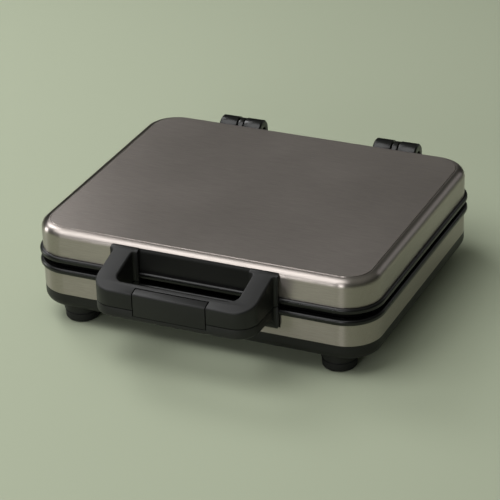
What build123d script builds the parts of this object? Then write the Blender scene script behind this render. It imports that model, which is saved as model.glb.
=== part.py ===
"""Waffle maker with dinosaur-shaped cooking plates, shown closed, in millimetres.

+Z is up and the handle points along -Y. The origin is at the bottom centre of the whole machine.
The case has two halves that meet at the parting plane. What lies above that plane is often the
mirror image of what lies below it.
"""

import os
from math import acos, atan2, cos, pi, sin

from build123d import *

os.makedirs("parts", exist_ok=True)

# Case: the steel outline seen from above, and its sheet
case_width = 270.0
case_depth = 224.0
corner_radius = 26.0
steel_thickness = 0.8
skin_gap = 0.1
cut_margin = 1.0
touch = 0.01

# Heights of the layers, from the table up
foot_height = 9.0
boss_height = 5.0
tub_show_height = 12.5
band_height = 17.1
bead_height = 4.8
bead_spacing = 4.4
cover_height = 21.5

# Plastic tub and lid liner
housing_wall = 3.2
tub_edge_radius = 7.0
pillar_radius = 6.0
pillar_height = 19.4
vent_width = 3.0
vent_length = 30.0
vent_pitch = 9.0
vent_count = 7
vent_row_y = 42.0

# Lid cover
cover_edge_radius = 6.1
panel_inset = 6.6
panel_rise = 0.4
panel_edge_radius = 0.3

# Plastic rims: a bead, a drip groove, a ridge and a ledge that carries the cooking plate
bead_outset = 2.4
bead_width = 4.4
bead_round = 2.1
groove_width = 3.0
ridge_width = 3.0
ledge_width = 4.0
groove_floor = 2.8
closed_gap = 0.6

# Cooking plates
flange_thickness = 3.0
plate_side_gap = 0.3
pocket_depth = 7.5
pocket_draft = 0.9
pocket_wall = 2.5
lug_radius = 4.5
lug_rail_gap = 15.25
front_column_extra = 12.0
drawn_cell_width = 74.0

# Tubular heaters and the rails that hold them
heater_inset = 19.0
heater_radius = 3.25
heater_bend_radius = 22.0
heater_end_gap = 36.0
heater_fit = 0.05
rail_width = 9.5
rail_height = 4.2
terminal_radius = 1.8
terminal_length = 7.0

# Sheet heat shields
shield_inset = 13.0
shield_thickness = 0.6
shield_wall_height = 5.0

# Handle: reach is measured out from the front wall of the case
handle_reach = 44.5
handle_width = 127.0
leg_width = 15.5
bar_depth = 11.6
handle_outer_radius = 16.0
handle_inner_radius = 7.0
pad_outer_overhang = 3.0
pad_inner_overhang = 3.6
pad_stand_out = 2.6
pad_bottom_z = 33.0
pad_blend_radius = 2.4
handle_back_z = 76.0
handle_front_z = 63.7
handle_bottom_z = 41.8
root_blend_reach = 14.0
handle_edge_radius = 1.6
handle_underside_radius = 2.6
notch_gap = 0.3
notch_corner_radius = 0.9

# Latch clip
latch_width = 56.8
latch_side_gap = 0.8
latch_strip_depth = 6.2
latch_thickness = 2.8
latch_bottom_z = 46.3
latch_lip_depth = 4.9
latch_lip_height = 2.1
latch_pivot_depth = 5.1
latch_pivot_z = 61.2
latch_pin_radius = 1.4
latch_pin_bearing = 4.0
latch_cheek_radius = 3.0
latch_cheek_width = 4.0
latch_cheek_rise = 1.0
latch_clearance = 0.4
latch_strip_thickness = 2.6
catch_gap = 0.6
pocket_floor = 2.5

# Hinges
hinge_axis_back = 12.5
hinge_axis_z = 68.3
barrel_radius = 9.5
barrel_length = 36.0
barrel_centre_x = 66.5
knuckle_width = 4.0
knuckle_gap = 1.3
knuckle_step = 0.5
hinge_pin_radius = 2.5
pin_recess_radius = 4.0
pin_recess_depth = 3.0
hinge_running_fit = 0.05
post_front_gap = 1.1
post_bottom_z = 29.0
post_foot_depth = 9.0
arm_plate_thickness = 2.4
arm_plate_width = 30.0
arm_plate_bottom_z = 58.6
arm_plate_corner = 2.0
post_chamfer = 1.0

# Screws
screw_radius = 1.7
screw_head_radius = 3.0
screw_head_height = 2.2
screw_hole_gap = 0.05
screw_pass_gap = 0.3
screw_seat_height = 4.6
screw_grip = 13.0
wall_screw_spacing = 10.0
handle_lower_screw_z = 39.5
handle_upper_screw_z = 62.0
handle_screw_bite = 5.0
post_screw_spacing = 24.0
post_screw_z = 36.0
post_screw_bite = 6.0
arm_screw_spacing = 20.0
arm_screw_z = 62.6
upper_screw_bite = 12.0
arm_screw_bite = 2.0

# Feet
foot_radius = 13.2
foot_round = 2.5
foot_stem_radius = 4.0
foot_stem_gap = 0.1
foot_dimple_radius = 4.5
foot_dimple_depth = 2.5
boss_radius = 13.8
foot_side_inset = 30.4
foot_front_inset = 19.2
foot_rear_inset = 30.0

# Cord bush, terminal block, thermostat and thermal fuse
cord_radius = 3.5
bush_body_radius = 5.5
bush_flange_radius = 8.0
bush_flange_thickness = 2.0
bush_z = 35.0
bush_fit = 0.1
bush_round = 1.0
block_length = 34.0
block_width = 16.0
block_height = 12.0
block_way_count = 3
block_way_pitch = 11.0
block_hole_radius = 2.2
block_hole_depth = 6.0
block_back_inset = 30.0
thermostat_radius = 8.5
thermostat_height = 8.5
thermostat_tab_length = 6.0
fuse_length = 26.0
fuse_radius = 3.0
strap_length = 12.0
strap_width = 8.0
strap_thickness = 0.8

# Heights and places worked out from the sizes above
tub_bottom_z = foot_height + boss_height
band_bottom_z = tub_bottom_z + tub_show_height
band_top_z = band_bottom_z + band_height
parting_z = band_top_z + bead_height + bead_spacing / 2
cover_bottom_z = 2 * parting_z - band_top_z
lid_top_z = cover_bottom_z + cover_height
lower_face_z = parting_z - closed_gap / 2
upper_face_z = parting_z + closed_gap / 2
case_y = (handle_reach - hinge_axis_back - barrel_radius) / 2
front_y = case_y - case_depth / 2
rear_y = case_y + case_depth / 2
hinge_y = rear_y + hinge_axis_back
liner_inset = steel_thickness + skin_gap
groove_start = bead_width - bead_outset
ridge_start = groove_start + groove_width
ledge_start = ridge_start + ridge_width
ledge_end = ledge_start + ledge_width
plate_inset = ledge_start + plate_side_gap
flange_bottom_z = lower_face_z - flange_thickness
tray_depth = pocket_depth + pocket_wall
tub_floor_z = tub_bottom_z + housing_wall
pillar_top_z = tub_floor_z + pillar_height
shield_top_z = pillar_top_z + shield_thickness
screw_seat_z = pillar_top_z - screw_seat_height
cover_skin_z = lid_top_z - panel_rise
liner_top_z = cover_skin_z - steel_thickness - skin_gap
bar_inner_reach = handle_reach - bar_depth
leg_centre_x = (handle_width - leg_width) / 2
pad_width = leg_width + pad_outer_overhang + pad_inner_overhang
pad_centre_x = leg_centre_x + (pad_outer_overhang - pad_inner_overhang) / 2
pad_middle_reach = (pad_stand_out - liner_inset) / 2
latch_pivot_reach = handle_reach - latch_pivot_depth
cell_width = (case_width - 2 * heater_inset - rail_width) / 3
cell_depth = (case_depth - 2 * heater_inset - rail_width) / 2
dinosaur_scale = cell_width / drawn_cell_width
front_column_spacing = cell_width + front_column_extra
side_lug_x = case_width / 2 - heater_inset - rail_width / 2 - lug_rail_gap
knuckle_radius = barrel_radius - knuckle_step
parting_plane = Plane((0, 0, parting_z))


def case_plane(z):
    """A level plane with its origin over the middle of the case."""
    return Plane((0, case_y, z))


def case_outline(inset):
    """The rounded rectangle of the case, drawn in by inset, for the sketch in hand."""
    RectangleRounded(case_width - 2 * inset, case_depth - 2 * inset, corner_radius - inset)


def handle_top_z(reach):
    """Height of the sloping top of the handle at a distance out from the front wall."""
    slope = (handle_back_z - handle_front_z) / (handle_reach + liner_inset)
    return handle_back_z - slope * (reach + liner_inset)


def in_front(reach, z):
    """A point of a side view: so far out from the front wall, and so high."""
    return (front_y - reach, z)


def behind(reach, z):
    """A point of a side view: so far back from the rear wall, and so high."""
    return (rear_y + reach, z)


def front_places(centres, z, inset):
    """Two screw places beside each centre, on the front wall's inner face."""
    offsets = (-wall_screw_spacing / 2, wall_screw_spacing / 2)
    return [Vector(x + dx, front_y + inset, z) for x in centres for dx in offsets]


def rear_places(centres, spacing, z, inset):
    """Two screw places beside each centre, on the rear wall's inner face."""
    return [Vector(x + dx, rear_y - inset, z) for x in centres for dx in (-spacing / 2, spacing / 2)]


def screws(places, direction, grip):
    """Pan-head screws, each with its head behind its place and its shank along the direction."""
    with BuildPart() as group:
        for place in places:
            with BuildSketch(Plane(origin=place, z_dir=direction)):
                Circle(screw_radius)
            extrude(amount=grip)
            with BuildSketch(Plane(origin=place, z_dir=direction)):
                Circle(screw_head_radius)
            extrude(amount=-screw_head_height)
    return group


leg_centres = (-leg_centre_x, leg_centre_x)
barrel_centres = (-barrel_centre_x, barrel_centre_x)
lower_handle_places = front_places(leg_centres, handle_lower_screw_z, housing_wall)
upper_handle_places = front_places(leg_centres, handle_upper_screw_z, liner_inset + housing_wall)
post_places = rear_places(barrel_centres, post_screw_spacing, post_screw_z, housing_wall)
arm_places = rear_places(barrel_centres, arm_screw_spacing, arm_screw_z, liner_inset + housing_wall)
pillar_spots = [
    (-side_lug_x, -cell_depth / 2),
    (side_lug_x, -cell_depth / 2),
    (-cell_width / 2, 0),
    (cell_width / 2, 0),
]
lower_screw_grip = housing_wall + handle_screw_bite
upper_screw_grip = housing_wall + liner_inset + upper_screw_bite
post_screw_grip = housing_wall + post_screw_bite
arm_screw_grip = housing_wall + liner_inset + arm_screw_bite


def drill(places, direction, radius, depth):
    """Holes from the screw places, cut along the direction from the part in hand."""
    with Locations(*[Plane(origin=place, z_dir=-direction) for place in places]):
        Hole(radius=radius, depth=depth)


# Dinosaur outlines: each is a set of chains, each chain a row of circles (x, y, radius) joined by tangents
long_neck = [
    [(-31, -13, 2.2), (-20, -8, 4.5), (-8, -4, 10.5), (7, -3, 10.5), (15, 5, 6), (20, 14, 4.6)],
    [(20, 14, 4.6), (23, 20, 4.4), (29, 19, 3.4)],
    [(-12, -10, 5), (-13, -21, 4.4)],
    [(8, -10, 5), (9, -21, 4.4)],
]
two_legged = [
    [(30, -6, 2), (20, -5, 4.5), (7, 1, 9), (-5, 8, 8.5), (-12, 16, 6.5), (-23, 17, 5)],
    [(5, -3, 7.5), (1, -13, 4.6), (3, -21, 3.4), (-6, -22, 3.2)],
    [(-9, 4, 3.2), (-17, 0, 2.4)],
]
horned = [
    [(-31, -8, 2.2), (-20, -2, 5), (-9, 0, 11.5), (7, 0, 11.5), (17, 3, 8.5), (27, -5, 4)],
    [(9, 4, 8), (11, 13, 5.5)],
    [(20, 9, 2.8), (29, 17, 1.8)],
    [(-12, -8, 5.2), (-13, -20, 4.6)],
    [(8, -8, 5.2), (9, -20, 4.6)],
]
plated = [
    [(31, 3, 2), (22, -1, 4.5), (9, 0, 10.5), (-7, -3, 9.5), (-17, -8, 5), (-27, -11, 3.8)],
    [(11, -8, 5), (12, -20, 4.4)],
    [(-9, -8, 4.8), (-10, -20, 4.2)],
    [(-13, 2, 4), (-17, 10, 1.8)],
    [(-3, 5, 4.5), (-5, 16, 1.8)],
    [(8, 8, 4.5), (9, 19, 1.8)],
    [(18, 3, 4), (22, 13, 1.8)],
]
winged = [
    [(0, -13, 3), (0, 0, 6), (2, 9, 4.4), (12, 18, 2)],
    [(2, 9, 4.2), (-6, 18, 2)],
    [(0, 0, 6.5), (14, 6, 5.5), (23, 3, 4.5), (32, -12, 1.8)],
    [(0, 0, 6.5), (-14, 6, 5.5), (-23, 3, 4.5), (-32, -12, 1.8)],
]

dinosaur_places = [
    (two_legged, -cell_width, cell_depth / 2),
    (winged, 0, cell_depth / 2),
    (horned, cell_width, cell_depth / 2),
    (long_neck, -front_column_spacing / 2, -cell_depth / 2),
    (plated, front_column_spacing / 2, -cell_depth / 2),
]


def on_circle(circle, angle, grow):
    """A point on a circle (x, y, radius) of an outline, scaled to its cell and grown by grow."""
    x, y, radius = circle
    reach = radius * dinosaur_scale + grow
    return Vector(x * dinosaur_scale + reach * cos(angle), y * dinosaur_scale + reach * sin(angle))


def limb(start, end, grow):
    """Two circles joined by their outer tangents, as one face."""
    run = Vector(end[0] - start[0], end[1] - start[1])
    heading = atan2(run.Y, run.X)
    spread = acos((start[2] - end[2]) / run.length)
    left, right = heading + spread, heading - spread
    with BuildSketch() as face:
        with BuildLine():
            Line(on_circle(start, right, grow), on_circle(end, right, grow))
            ThreePointArc(
                on_circle(end, right, grow),
                on_circle(end, heading, grow),
                on_circle(end, left, grow),
            )
            Line(on_circle(end, left, grow), on_circle(start, left, grow))
            ThreePointArc(
                on_circle(start, left, grow),
                on_circle(start, heading + pi, grow),
                on_circle(start, right, grow),
            )
        make_face()
    return face.sketch


def dinosaur(chains, grow):
    """A dinosaur outline with every circle grown by grow, as a sketch round its own middle."""
    with BuildSketch() as outline:
        for chain in chains:
            for start, end in zip(chain, chain[1:]):
                add(limb(start, end, grow))
    return outline.sketch


def housing_hole(places, direction):
    """Clearance holes for wall screws, from the inner face of a housing wall outward."""
    drill(places, direction, screw_radius + screw_pass_gap, housing_wall + steel_thickness + cut_margin)


# Base tub: an open plastic box on four bosses, with pillars that carry the shield and the plate
foot_xs = (-(case_width / 2 - foot_side_inset), case_width / 2 - foot_side_inset)
foot_ys = (-(case_depth / 2 - foot_front_inset), case_depth / 2 - foot_rear_inset)
foot_spots = [(x, y) for y in foot_ys for x in foot_xs]
forward = Vector(0, -1, 0)
backward = Vector(0, 1, 0)

with BuildPart() as base_tub:
    with BuildSketch(case_plane(tub_bottom_z)):
        case_outline(0)
    extrude(amount=band_top_z - tub_bottom_z)
    fillet(base_tub.faces().sort_by(Axis.Z)[0].outer_wire().edges(), tub_edge_radius)
    offset(amount=-housing_wall, openings=base_tub.faces().sort_by(Axis.Z)[-1])
    with BuildSketch(case_plane(band_bottom_z)):
        case_outline(-cut_margin)
        with BuildSketch(mode=Mode.PRIVATE) as inside:
            case_outline(liner_inset)
        add(inside.sketch, mode=Mode.SUBTRACT)
    extrude(amount=band_height, mode=Mode.SUBTRACT)
    with BuildSketch(case_plane(foot_height)):
        with Locations(*foot_spots):
            Circle(boss_radius)
    extrude(amount=boss_height + housing_wall)
    with BuildSketch(case_plane(foot_height)):
        with Locations(*foot_spots):
            Circle(foot_stem_radius + foot_stem_gap)
    extrude(amount=boss_height + housing_wall, mode=Mode.SUBTRACT)
    with BuildSketch(case_plane(tub_bottom_z)):
        with Locations(*pillar_spots):
            Circle(pillar_radius)
    extrude(amount=housing_wall + pillar_height)
    with BuildSketch(case_plane(tub_bottom_z)):
        with Locations(*pillar_spots):
            Circle(screw_head_radius + screw_pass_gap)
    extrude(amount=screw_seat_z - tub_bottom_z, mode=Mode.SUBTRACT)
    with BuildSketch(case_plane(tub_bottom_z)):
        with Locations(*pillar_spots):
            Circle(screw_radius + screw_pass_gap)
    extrude(amount=housing_wall + pillar_height, mode=Mode.SUBTRACT)
    with BuildSketch(case_plane(tub_bottom_z)):
        for row_y in (-vent_row_y, vent_row_y):
            with Locations((0, row_y)):
                with GridLocations(vent_pitch, 0, vent_count, 1):
                    SlotOverall(vent_length, vent_width, rotation=90)
    extrude(amount=housing_wall, mode=Mode.SUBTRACT)
    housing_hole(lower_handle_places, forward)
    housing_hole(post_places, backward)
    drill([Vector(0, rear_y - housing_wall, bush_z)], backward, bush_body_radius + bush_fit, housing_wall)
base_tub.part.label = "base_tub"
export_step(base_tub.part, "parts/base_tub.step")


def pad_notches(low_z, high_z):
    """Boxes that clear the handle roots, from low_z to high_z, for cutting steel and rims."""
    with BuildPart() as notches:
        with BuildSketch(Plane((0, front_y, low_z))):
            with Locations((-pad_centre_x, 0), (pad_centre_x, 0)):
                Rectangle(pad_width + 2 * notch_gap, 2 * liner_inset)
            with Locations((-pad_centre_x, -bead_width), (pad_centre_x, -bead_width)):
                Rectangle(pad_width + 2 * notch_gap, 2 * bead_width)
        extrude(amount=high_z - low_z)
    return notches.part


# Steel band round the base
with BuildPart() as base_band:
    with BuildSketch(case_plane(band_bottom_z)):
        case_outline(0)
        with BuildSketch(mode=Mode.PRIVATE) as inside:
            case_outline(steel_thickness)
        add(inside.sketch, mode=Mode.SUBTRACT)
    extrude(amount=band_height)
    add(pad_notches(pad_bottom_z - notch_gap, band_top_z + cut_margin), mode=Mode.SUBTRACT)
    housing_hole(post_places, backward)
    drill([Vector(0, rear_y - housing_wall, bush_z)], backward, bush_body_radius + bush_fit, housing_wall)
base_band.part.label = "base_band"
export_step(base_band.part, "parts/base_band.step")

# Lower rim, and the upper one as its mirror image
with BuildPart() as base_rim:
    with BuildSketch(case_plane(band_top_z)):
        case_outline(-bead_outset)
        with BuildSketch(mode=Mode.PRIVATE) as inside:
            case_outline(ledge_end)
        add(inside.sketch, mode=Mode.SUBTRACT)
    extrude(amount=bead_height)
    fillet(base_rim.faces().sort_by(Axis.Z)[-1].outer_wire().edges(), bead_round)
    fillet(base_rim.faces().sort_by(Axis.Z)[0].outer_wire().edges(), bead_round)
    with BuildSketch(case_plane(band_top_z + groove_floor)):
        case_outline(groove_start)
    extrude(amount=bead_height, mode=Mode.SUBTRACT)
    with BuildSketch(case_plane(band_top_z + groove_floor)):
        case_outline(ridge_start)
        with BuildSketch(mode=Mode.PRIVATE) as inside:
            case_outline(ledge_start)
        add(inside.sketch, mode=Mode.SUBTRACT)
    extrude(amount=lower_face_z - band_top_z - groove_floor)
    with BuildSketch(case_plane(band_top_z)):
        case_outline(ledge_start)
        with BuildSketch(mode=Mode.PRIVATE) as inside:
            case_outline(ledge_end)
        add(inside.sketch, mode=Mode.SUBTRACT)
    extrude(amount=flange_bottom_z - band_top_z)
    add(pad_notches(band_top_z - cut_margin, parting_z), mode=Mode.SUBTRACT)
base_rim.part.label = "base_rim"
export_step(base_rim.part, "parts/base_rim.step")

with BuildPart() as lid_rim:
    add(mirror(base_rim.part, about=parting_plane, mode=Mode.PRIVATE))
lid_rim.part.label = "lid_rim"
export_step(lid_rim.part, "parts/lid_rim.step")

# Cooking plates: a flange with five drafted dinosaur pockets, each in a tray, a heater rail and four lugs
heater_half_width = case_width / 2 - heater_inset
heater_half_depth = case_depth / 2 - heater_inset
heater_z = flange_bottom_z - rail_height
heater_corners = [
    (heater_end_gap / 2, case_y + heater_half_depth, heater_z),
    (heater_half_width, case_y + heater_half_depth, heater_z),
    (heater_half_width, case_y - heater_half_depth, heater_z),
    (-heater_half_width, case_y - heater_half_depth, heater_z),
    (-heater_half_width, case_y + heater_half_depth, heater_z),
    (-heater_end_gap / 2, case_y + heater_half_depth, heater_z),
]


def along_heater(section):
    """A section swept along the heater's horseshoe, starting at its left-hand end at the back."""
    with BuildPart() as run:
        with BuildLine() as route:
            FilletPolyline(*heater_corners, radius=heater_bend_radius)
        with BuildSketch(Plane(origin=heater_corners[0], x_dir=(0, 1, 0), z_dir=(1, 0, 0))):
            section()
        sweep(path=route.line)
    return run.part


def tube_section():
    Circle(heater_radius)


def groove_section():
    Circle(heater_radius + heater_fit)


def rail_section():
    with Locations((0, rail_height / 2)):
        Rectangle(rail_width, rail_height)


with BuildPart() as lower_plate:
    with BuildSketch(case_plane(flange_bottom_z)):
        case_outline(plate_inset)
    extrude(amount=flange_thickness)
    for chains, x, y in dinosaur_places:
        with BuildSketch(case_plane(lower_face_z)):
            with Locations((x, y)):
                add(dinosaur(chains, pocket_wall))
        extrude(amount=-tray_depth)
    for chains, x, y in dinosaur_places:
        with BuildSketch(case_plane(lower_face_z)):
            with Locations((x, y)):
                add(dinosaur(chains, 0))
        with BuildSketch(case_plane(lower_face_z - pocket_depth)):
            with Locations((x, y)):
                add(dinosaur(chains, -pocket_draft))
        loft(ruled=True, mode=Mode.SUBTRACT)
    add(along_heater(rail_section))
    add(along_heater(groove_section), mode=Mode.SUBTRACT)
    with BuildSketch(case_plane(shield_top_z)):
        with Locations(*pillar_spots):
            Circle(lug_radius)
    extrude(amount=flange_bottom_z - shield_top_z)
    with BuildSketch(case_plane(shield_top_z)):
        with Locations(*pillar_spots):
            Circle(screw_radius + screw_hole_gap)
    extrude(amount=screw_grip - screw_seat_height, mode=Mode.SUBTRACT)
lower_plate.part.label = "lower_plate"
export_step(lower_plate.part, "parts/lower_plate.step")

with BuildPart() as upper_plate:
    add(mirror(lower_plate.part, about=parting_plane, mode=Mode.PRIVATE))
upper_plate.part.label = "upper_plate"
export_step(upper_plate.part, "parts/upper_plate.step")

# Tubular heaters with a thin cold pin at each end
with BuildPart() as lower_heater:
    add(along_heater(tube_section))
    for side in (-1, 1):
        start = (side * heater_end_gap / 2, case_y + heater_half_depth, heater_z)
        with BuildSketch(Plane(origin=start, z_dir=(-side, 0, 0))):
            Circle(terminal_radius)
        extrude(amount=terminal_length)
lower_heater.part.label = "lower_heater"
export_step(lower_heater.part, "parts/lower_heater.step")

with BuildPart() as upper_heater:
    add(mirror(lower_heater.part, about=parting_plane, mode=Mode.PRIVATE))
upper_heater.part.label = "upper_heater"
export_step(upper_heater.part, "parts/upper_heater.step")

# Heat shields: shallow pans clamped between the pillars and the plate's lugs
with BuildPart() as lower_heat_shield:
    with BuildSketch(case_plane(pillar_top_z)):
        case_outline(shield_inset)
    extrude(amount=shield_wall_height)
    offset(amount=-shield_thickness, openings=lower_heat_shield.faces().sort_by(Axis.Z)[-1])
    with BuildSketch(case_plane(pillar_top_z)):
        with Locations(*pillar_spots):
            Circle(screw_radius + screw_pass_gap)
    extrude(amount=shield_thickness, mode=Mode.SUBTRACT)
lower_heat_shield.part.label = "lower_heat_shield"
export_step(lower_heat_shield.part, "parts/lower_heat_shield.step")

with BuildPart() as upper_heat_shield:
    add(mirror(lower_heat_shield.part, about=parting_plane, mode=Mode.PRIVATE))
upper_heat_shield.part.label = "upper_heat_shield"
export_step(upper_heat_shield.part, "parts/upper_heat_shield.step")

# Plate screws, driven through the pillars into the lugs
plate_screw_places = [Vector(x, case_y + y, screw_seat_z) for x, y in pillar_spots]
lower_plate_screws = screws(plate_screw_places, Vector(0, 0, 1), screw_grip - screw_hole_gap)
lower_plate_screws.part.label = "lower_plate_screws"
export_step(lower_plate_screws.part, "parts/lower_plate_screws.step")

with BuildPart() as upper_plate_screws:
    add(mirror(lower_plate_screws.part, about=parting_plane, mode=Mode.PRIVATE))
upper_plate_screws.part.label = "upper_plate_screws"
export_step(upper_plate_screws.part, "parts/upper_plate_screws.step")

# Lid liner: the plastic tray inside the steel cover
with BuildPart() as lid_liner:
    with BuildSketch(case_plane(cover_bottom_z)):
        case_outline(liner_inset)
    extrude(amount=liner_top_z - cover_bottom_z)
    fillet(lid_liner.faces().sort_by(Axis.Z)[-1].outer_wire().edges(), cover_edge_radius - liner_inset)
    offset(amount=-housing_wall, openings=lid_liner.faces().sort_by(Axis.Z)[0])
    with BuildSketch(case_plane(liner_top_z)):
        with Locations(*pillar_spots):
            Circle(pillar_radius)
    extrude(amount=2 * parting_z - pillar_top_z - liner_top_z)
    with BuildSketch(case_plane(liner_top_z)):
        with Locations(*pillar_spots):
            Circle(screw_head_radius + screw_pass_gap)
    extrude(amount=2 * parting_z - screw_seat_z - liner_top_z, mode=Mode.SUBTRACT)
    with BuildSketch(case_plane(liner_top_z)):
        with Locations(*pillar_spots):
            Circle(screw_radius + screw_pass_gap)
    extrude(amount=2 * parting_z - pillar_top_z - liner_top_z, mode=Mode.SUBTRACT)
    housing_hole(upper_handle_places, forward)
    housing_hole(arm_places, backward)
lid_liner.part.label = "lid_liner"
export_step(lid_liner.part, "parts/lid_liner.step")

# Lid cover: the brushed steel skin with rounded top edges and a slightly raised flat panel
with BuildPart() as lid_cover:
    with BuildSketch(case_plane(cover_bottom_z)):
        case_outline(0)
    extrude(amount=cover_skin_z - cover_bottom_z)
    fillet(lid_cover.faces().sort_by(Axis.Z)[-1].outer_wire().edges(), cover_edge_radius)
    offset(amount=-steel_thickness, openings=lid_cover.faces().sort_by(Axis.Z)[0])
    with BuildSketch(case_plane(cover_skin_z)):
        case_outline(panel_inset)
    extrude(amount=panel_rise)
    fillet(lid_cover.faces().sort_by(Axis.Z)[-1].outer_wire().edges(), panel_edge_radius)
    with BuildPart(mode=Mode.PRIVATE) as root_notches:
        add(pad_notches(cover_bottom_z - cut_margin, handle_back_z + notch_gap))
        notch_edges = root_notches.edges().filter_by(Axis.Y).group_by(Axis.Z)[-1]
        fillet(notch_edges, notch_corner_radius)
    add(root_notches.part, mode=Mode.SUBTRACT)
    housing_hole(arm_places, backward)
lid_cover.part.label = "lid_cover"
export_step(lid_cover.part, "parts/lid_cover.step")


def handle_plan():
    """The handle from above: two legs, a bar and a wider pad at each root, for the sketch in hand."""
    leg_edges = (leg_centre_x - leg_width / 2, leg_centre_x + leg_width / 2)
    with BuildSketch(Plane((0, front_y, 0)), mode=Mode.PRIVATE) as plan:
        with Locations((0, -handle_reach / 2)):
            Rectangle(handle_width, handle_reach)
        fillet(plan.vertices().group_by(Axis.Y)[0], handle_outer_radius)
        with Locations((0, -bar_inner_reach / 2)):
            Rectangle(handle_width - 2 * leg_width, bar_inner_reach, mode=Mode.SUBTRACT)
        gap_corners = [v for v in plan.vertices() if abs(v.Y + bar_inner_reach) < touch]
        fillet(gap_corners, handle_inner_radius)
        with Locations((-pad_centre_x, -pad_middle_reach), (pad_centre_x, -pad_middle_reach)):
            Rectangle(pad_width, pad_stand_out + liner_inset)
        at_pad_front = [v for v in plan.vertices() if abs(v.Y + pad_stand_out) < touch]
        roots = [v for v in at_pad_front if min(abs(abs(v.X) - x) for x in leg_edges) < touch]
        fillet(roots, pad_blend_radius)
    return plan.sketch


# Latch pocket and catch, cut across the handle bar
pocket_width = latch_width + 2 * latch_side_gap
strip_back_reach = handle_reach - latch_strip_depth
swing_radius = (
    Vector(strip_back_reach, handle_top_z(strip_back_reach)) - Vector(latch_pivot_reach, latch_pivot_z)
).length + latch_clearance
plate_back_reach = handle_reach - latch_thickness
lip_back_reach = handle_reach - latch_lip_depth
lip_top_z = latch_bottom_z + latch_lip_height
catch_front_reach = plate_back_reach - latch_clearance
pocket_floor_z = upper_face_z + pocket_floor


def latch_pocket():
    """The space in the upper bar in which the clip lies and swings, with a floor left under it."""
    with BuildPart() as pocket:
        with BuildSketch(Plane.YZ):
            with Locations(in_front(latch_pivot_reach, latch_pivot_z)):
                Circle(swing_radius)
            with BuildLine():
                Polyline(
                    in_front(latch_pivot_reach + swing_radius / 2, pocket_floor_z),
                    in_front(catch_front_reach, pocket_floor_z),
                    in_front(catch_front_reach, upper_face_z - cut_margin),
                    in_front(handle_reach + cut_margin, upper_face_z - cut_margin),
                    in_front(handle_reach + cut_margin, handle_back_z),
                    in_front(latch_pivot_reach, handle_back_z),
                    in_front(latch_pivot_reach - swing_radius / 2, latch_pivot_z),
                    in_front(latch_pivot_reach - swing_radius / 2, pocket_floor_z),
                    close=True,
                )
            make_face()
        extrude(amount=pocket_width / 2, both=True)
    return pocket.part


# Upper handle half: the plan cut by a side view that slopes down to the front
with BuildPart() as handle_upper:
    with BuildSketch(Plane.XY.offset(upper_face_z)):
        add(handle_plan())
    extrude(amount=lid_top_z - upper_face_z)
    with BuildSketch(Plane.YZ):
        with BuildLine():
            Polyline(
                in_front(-liner_inset, upper_face_z),
                in_front(handle_reach, upper_face_z),
                in_front(handle_reach, handle_front_z),
                in_front(-liner_inset, handle_back_z),
                close=True,
            )
        make_face()
    extrude(amount=case_width / 2, both=True, mode=Mode.INTERSECT)
    sloping_top = handle_upper.faces().filter_by(lambda f: 0.5 < f.normal_at().Z < 0.999)[0]
    pad_front_y = front_y - pad_stand_out
    top_edges = sloping_top.outer_wire().edges()
    fillet([edge for edge in top_edges if edge.center().Y < pad_front_y + touch], handle_edge_radius)
    add(latch_pocket(), mode=Mode.SUBTRACT)
    pin_start = Vector(pocket_width / 2 + latch_pin_bearing, front_y - latch_pivot_reach, latch_pivot_z)
    with BuildSketch(Plane(origin=pin_start, z_dir=(-1, 0, 0))):
        Circle(latch_pin_radius)
    extrude(amount=pocket_width + 2 * latch_pin_bearing, mode=Mode.SUBTRACT)
    drill(upper_handle_places, forward, screw_radius + screw_hole_gap, upper_screw_grip + cut_margin)
handle_upper.part.label = "handle_upper"
export_step(handle_upper.part, "parts/handle_upper.step")

# Lower handle half: flared down to its pads, with a catch for the clip's lip
with BuildPart() as handle_lower:
    with BuildSketch(Plane.XY.offset(pad_bottom_z)):
        add(handle_plan())
    extrude(amount=lower_face_z - pad_bottom_z)
    with BuildSketch(Plane.YZ):
        with BuildLine():
            Polyline(
                in_front(root_blend_reach, handle_bottom_z),
                in_front(handle_reach, handle_bottom_z),
                in_front(handle_reach, lower_face_z),
                in_front(-liner_inset, lower_face_z),
                in_front(-liner_inset, pad_bottom_z),
                in_front(pad_stand_out, pad_bottom_z),
            )
            TangentArc(
                in_front(root_blend_reach, handle_bottom_z),
                in_front(pad_stand_out, pad_bottom_z),
                tangent=(1, 0),
            )
        make_face()
    extrude(amount=case_width / 2, both=True, mode=Mode.INTERSECT)
    level_faces = handle_lower.faces().filter_by(Axis.Z)
    underside = [face for face in level_faces if abs(face.center().Z - handle_bottom_z) < touch][0]
    root_start_y = front_y - root_blend_reach
    under_edges = underside.outer_wire().edges()
    bar_and_legs = [edge for edge in under_edges if abs(edge.center().Y - root_start_y) > touch]
    fillet(bar_and_legs, handle_underside_radius)
    with BuildSketch(Plane.YZ):
        with BuildLine():
            Polyline(
                in_front(catch_front_reach, lower_face_z + cut_margin),
                in_front(catch_front_reach, lip_top_z + catch_gap),
                in_front(lip_back_reach - latch_clearance, lip_top_z + catch_gap),
                in_front(lip_back_reach - latch_clearance, latch_bottom_z - latch_clearance),
                in_front(handle_reach + cut_margin, latch_bottom_z - latch_clearance),
                in_front(handle_reach + cut_margin, lower_face_z + cut_margin),
                close=True,
            )
        make_face()
    extrude(amount=pocket_width / 2, both=True, mode=Mode.SUBTRACT)
    drill(lower_handle_places, forward, screw_radius + screw_hole_gap, lower_screw_grip + cut_margin)
handle_lower.part.label = "handle_lower"
export_step(handle_lower.part, "parts/handle_lower.step")

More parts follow.
